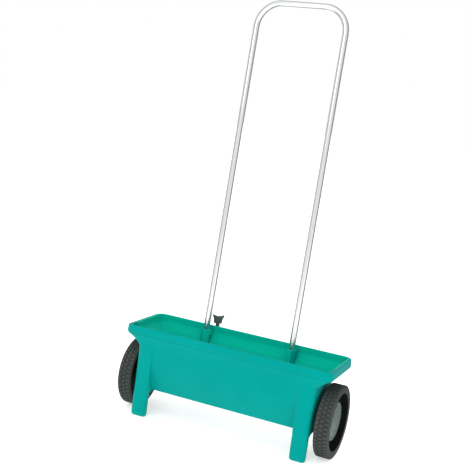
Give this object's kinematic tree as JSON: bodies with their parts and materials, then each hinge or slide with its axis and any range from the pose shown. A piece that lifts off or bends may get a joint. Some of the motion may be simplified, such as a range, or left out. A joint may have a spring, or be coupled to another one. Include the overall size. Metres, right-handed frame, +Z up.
{
  "type": "garden drop spreader",
  "caption": "Push-along drop spreader: teal flanged hopper on treaded wheels, front feet, bright U handle, knob-worked shutter under the outlets and an axle-driven agitator.",
  "frame": {"origin": "on the ground, under the middle of the whole spreader's outline", "axes": "+X along the axle towards the free wheel, +Y towards the user who pushes it, +Z up"},
  "size_m": [0.632, 0.2721, 1.2064],
  "materials": {
    "teal_plastic": "satin",
    "black_plastic": "matte",
    "wheel_plastic": "matte",
    "cap_plastic": "satin",
    "white_nylon": "satin",
    "bright_tube": "polished",
    "bright_alloy": "satin",
    "zinc_steel": "satin"
  },
  "bodies": {
    "frame": {"axle_bush_left": "white_nylon", "axle_bush_right": "white_nylon", "bracket_screw_1": "zinc_steel", "bracket_screw_2": "zinc_steel", "handle_loop": "bright_tube", "hopper": "teal_plastic", "joint_screw_left_1": "zinc_steel", "joint_screw_left_2": "zinc_steel", "joint_screw_right_1": "zinc_steel", "joint_screw_right_2": "zinc_steel", "joint_sleeve_left": "bright_alloy", "joint_sleeve_right": "bright_alloy", "lower_tube_left": "bright_tube", "lower_tube_right": "bright_tube", "rail_screw_1": "zinc_steel", "rail_screw_2": "zinc_steel", "rail_screw_3": "zinc_steel", "rail_screw_4": "zinc_steel", "shutter_rail_front": "black_plastic", "shutter_rail_rear": "black_plastic", "socket_screw_left_1": "zinc_steel", "socket_screw_left_2": "zinc_steel", "socket_screw_right_1": "zinc_steel", "socket_screw_right_2": "zinc_steel", "spindle_bracket": "black_plastic"},
    "drive_axle": {"agitator_left": "black_plastic", "agitator_right": "black_plastic", "axle_clip_left": "zinc_steel", "axle_clip_right": "zinc_steel", "axle_shaft": "zinc_steel", "axle_washer_left": "zinc_steel", "axle_washer_right": "zinc_steel", "drive_pin": "zinc_steel", "hub_cap_left": "cap_plastic", "wheel_left": "wheel_plastic"},
    "free_wheel": {"hub_cap_right": "cap_plastic", "wheel_right": "wheel_plastic"},
    "shutter": {"shutter_plate": "black_plastic"},
    "flow_control": {"control_spindle": "bright_alloy", "crank_arm": "zinc_steel", "crank_pin": "zinc_steel", "knob": "black_plastic", "spindle_clip": "zinc_steel"}
  },
  "joints": [
    {"name": "axle_turn", "type": "hinge", "parent": "frame", "child": "drive_axle", "pos_m": [0, -0.03608, 0.1], "axis": [1, 0, 0], "continuous": true},
    {"name": "free_wheel_turn", "type": "hinge", "parent": "frame", "child": "free_wheel", "pos_m": [0.296, -0.03608, 0.1], "axis": [1, 0, 0], "continuous": true},
    {"name": "knob_turn", "type": "hinge", "parent": "frame", "child": "flow_control", "pos_m": [-0.116, 0.06893, 0.268], "axis": [0, 0, 1], "range_deg": [0, 60]},
    {"name": "shutter_slide", "type": "slide", "parent": "frame", "child": "shutter", "axis": [1, 0, 0], "range_m": [0, 0.02]}
  ],
  "couplings": [
    {"joint": "knob_turn", "follows": "shutter_slide", "rad_per_m": 52.36}
  ]
}
